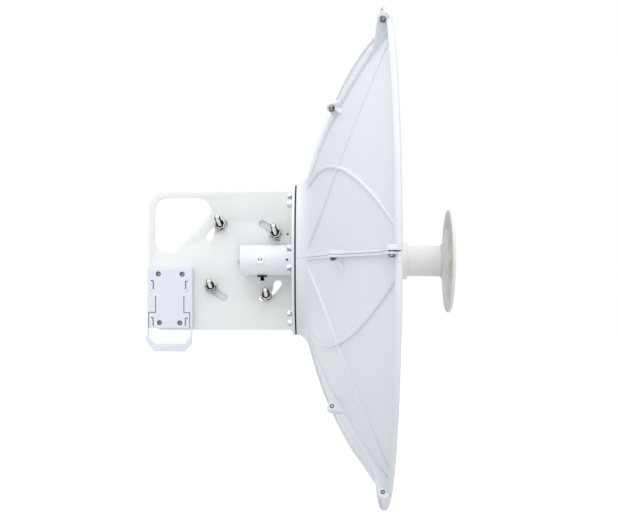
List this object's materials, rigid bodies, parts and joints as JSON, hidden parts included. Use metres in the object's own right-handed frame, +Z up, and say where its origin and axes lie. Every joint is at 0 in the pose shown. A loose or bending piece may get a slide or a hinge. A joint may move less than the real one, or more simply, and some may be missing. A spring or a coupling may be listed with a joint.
{
  "type": "microwave dish antenna",
  "caption": "Sectional microwave dish with a centre feed and a tilting plate clamped to a pole by U-bolts, with a cradle and latch for a radio.",
  "frame": {"origin": "on the flat back of the pole bracket, at the elevation pivot", "axes": "+X the way the dish looks, +Y from the bracket towards the pole, +Z up"},
  "size_m": [0.3994, 0.6564, 0.644],
  "materials": {
    "white_plastic": "satin moulded white",
    "white_enamel": "satin powder coat",
    "stainless": "bright drawn",
    "dark_steel": "black oxide",
    "housing_white": "satin moulded white",
    "feed_grey": "satin pale grey",
    "cradle_white": "satin cool white"
  },
  "bodies": {
    "clamp": {"pole_bracket": "white_enamel", "u_bolt_upper": "stainless", "u_bolt_lower": "stainless", "pivot_nut": "stainless", "clamp_nut_upper_left": "stainless", "clamp_nut_upper_right": "stainless", "clamp_nut_lower_left": "stainless", "clamp_nut_lower_right": "stainless"},
    "dish": {"petal_1": "white_plastic", "petal_2": "white_plastic", "petal_3": "white_plastic", "petal_4": "white_plastic", "petal_5": "white_plastic", "petal_6": "white_plastic", "seam_bolt_inner_1": "dark_steel", "seam_bolt_outer_1": "dark_steel", "seam_bolt_inner_2": "dark_steel", "seam_bolt_outer_2": "dark_steel", "seam_bolt_inner_3": "dark_steel", "seam_bolt_outer_3": "dark_steel", "seam_bolt_inner_4": "dark_steel", "seam_bolt_outer_4": "dark_steel", "seam_bolt_inner_5": "dark_steel", "seam_bolt_outer_5": "dark_steel", "seam_bolt_inner_6": "dark_steel", "seam_bolt_outer_6": "dark_steel", "hub_bolt_01": "stainless", "hub_bolt_02": "stainless", "hub_bolt_03": "stainless", "hub_bolt_04": "stainless", "hub_bolt_05": "stainless", "hub_bolt_06": "stainless", "hub_bolt_07": "stainless", "hub_bolt_08": "stainless", "hub_bolt_09": "stainless", "hub_bolt_10": "stainless", "hub_bolt_11": "stainless", "hub_bolt_12": "stainless", "back_plate": "white_enamel", "mount_plate": "white_enamel", "feed_housing": "housing_white", "feed_plug": "housing_white", "feed_connector": "dark_steel", "feed_sleeve": "feed_grey", "feed_tube": "feed_grey", "subreflector": "feed_grey", "radio_cradle": "cradle_white", "latch_loop": "cradle_white"}
  },
  "joints": [
    {"name": "elevation", "type": "hinge", "parent": "clamp", "child": "dish", "pos_m": [0, 0, 0], "axis": [0, 1, 0], "range_deg": [-4.5, 22.5]}
  ]
}
